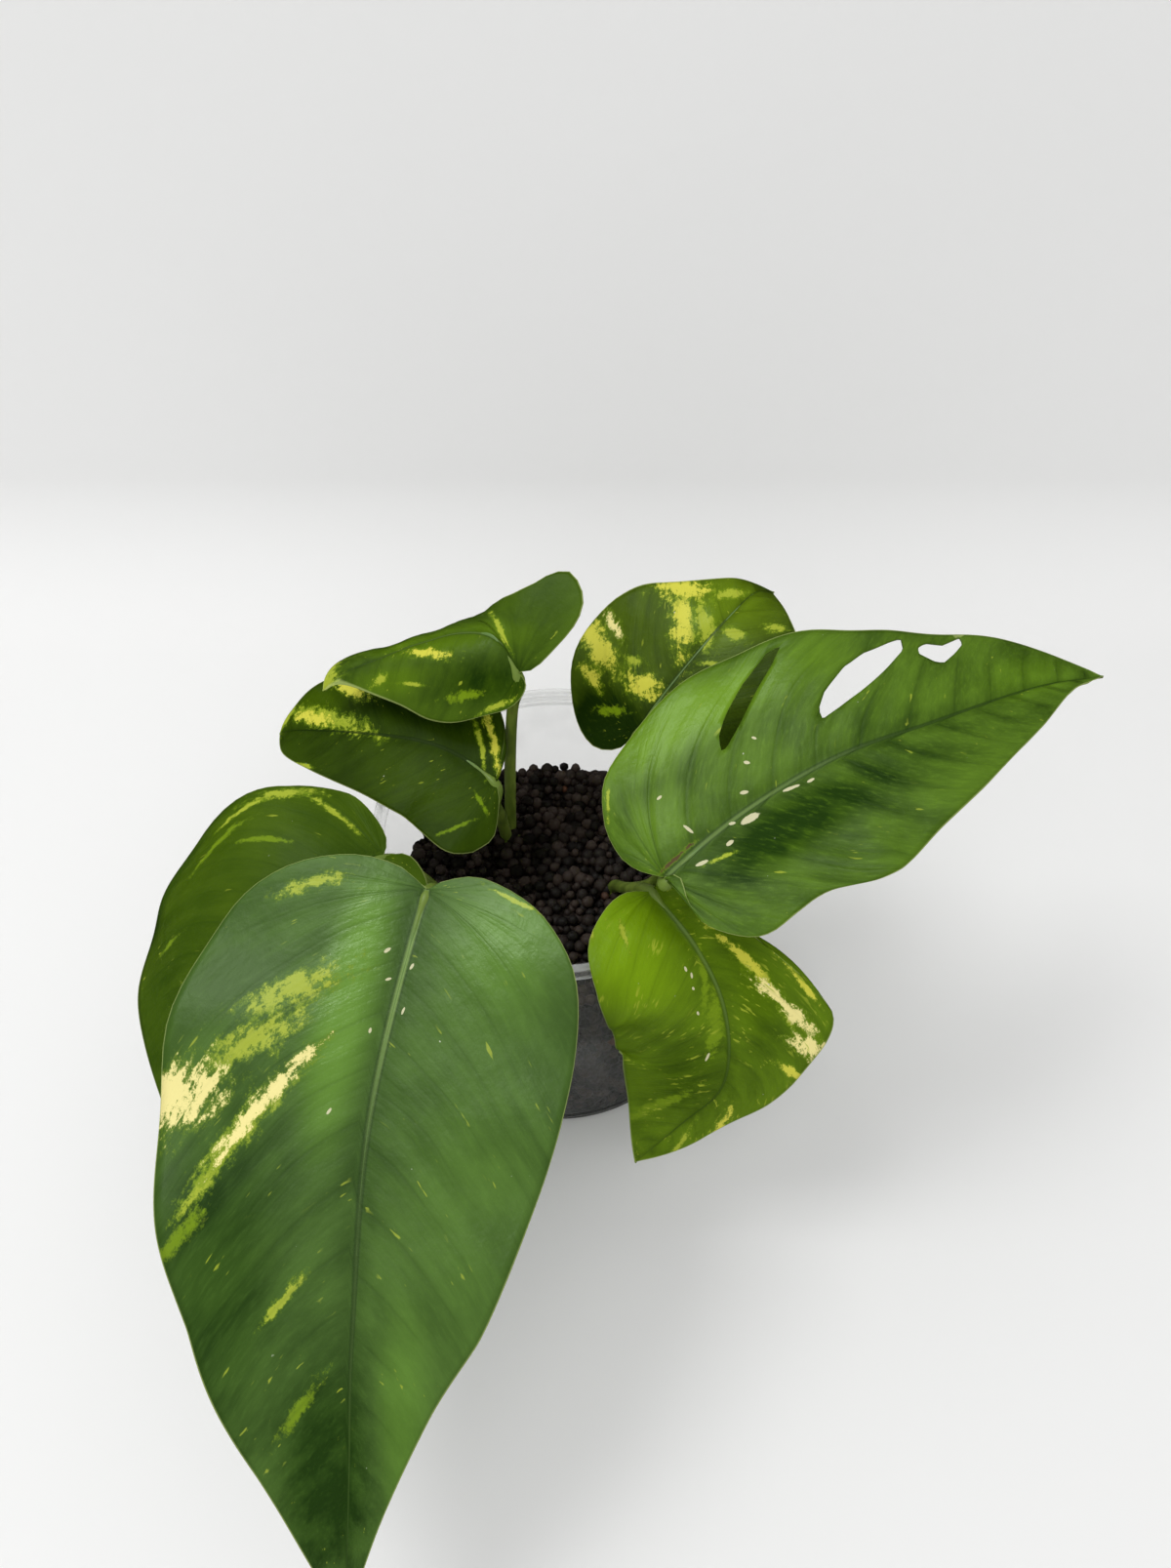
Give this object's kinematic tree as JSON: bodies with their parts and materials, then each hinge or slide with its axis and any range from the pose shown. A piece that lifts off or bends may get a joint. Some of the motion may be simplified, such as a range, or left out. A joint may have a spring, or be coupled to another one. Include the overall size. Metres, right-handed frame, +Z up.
{
  "type": "potted variegated aroid",
  "caption": "Young variegated climbing aroid with heart-shaped leaves on long stalks, in a clear round cup of baked clay granules.",
  "frame": {"origin": "centre of the cup's flat base", "axes": "+Z up along the cup's axis, the pictured side towards -Y, +X to the right of the picture"},
  "size_m": [0.2396, 0.2119, 0.1364],
  "materials": {
    "clear_plastic": "clear, slightly hazed moulded plastic",
    "baked_granules": "dull, porous, dark brown",
    "stem": "soft, pale olive green",
    "leaf": "waxy, satin green with cream and yellow variegation"
  },
  "bodies": {
    "root": {"pot": "clear_plastic", "soil": "baked_granules", "stem_back_left": "stem", "stem_front_left": "stem", "stem_right": "stem", "stem_back_right": "stem", "leaf_front": "leaf", "leaf_left": "leaf", "leaf_upper_left": "leaf", "leaf_rolled": "leaf", "leaf_back_right": "leaf", "leaf_right": "leaf", "leaf_lower_right": "leaf"}
  },
  "joints": []
}
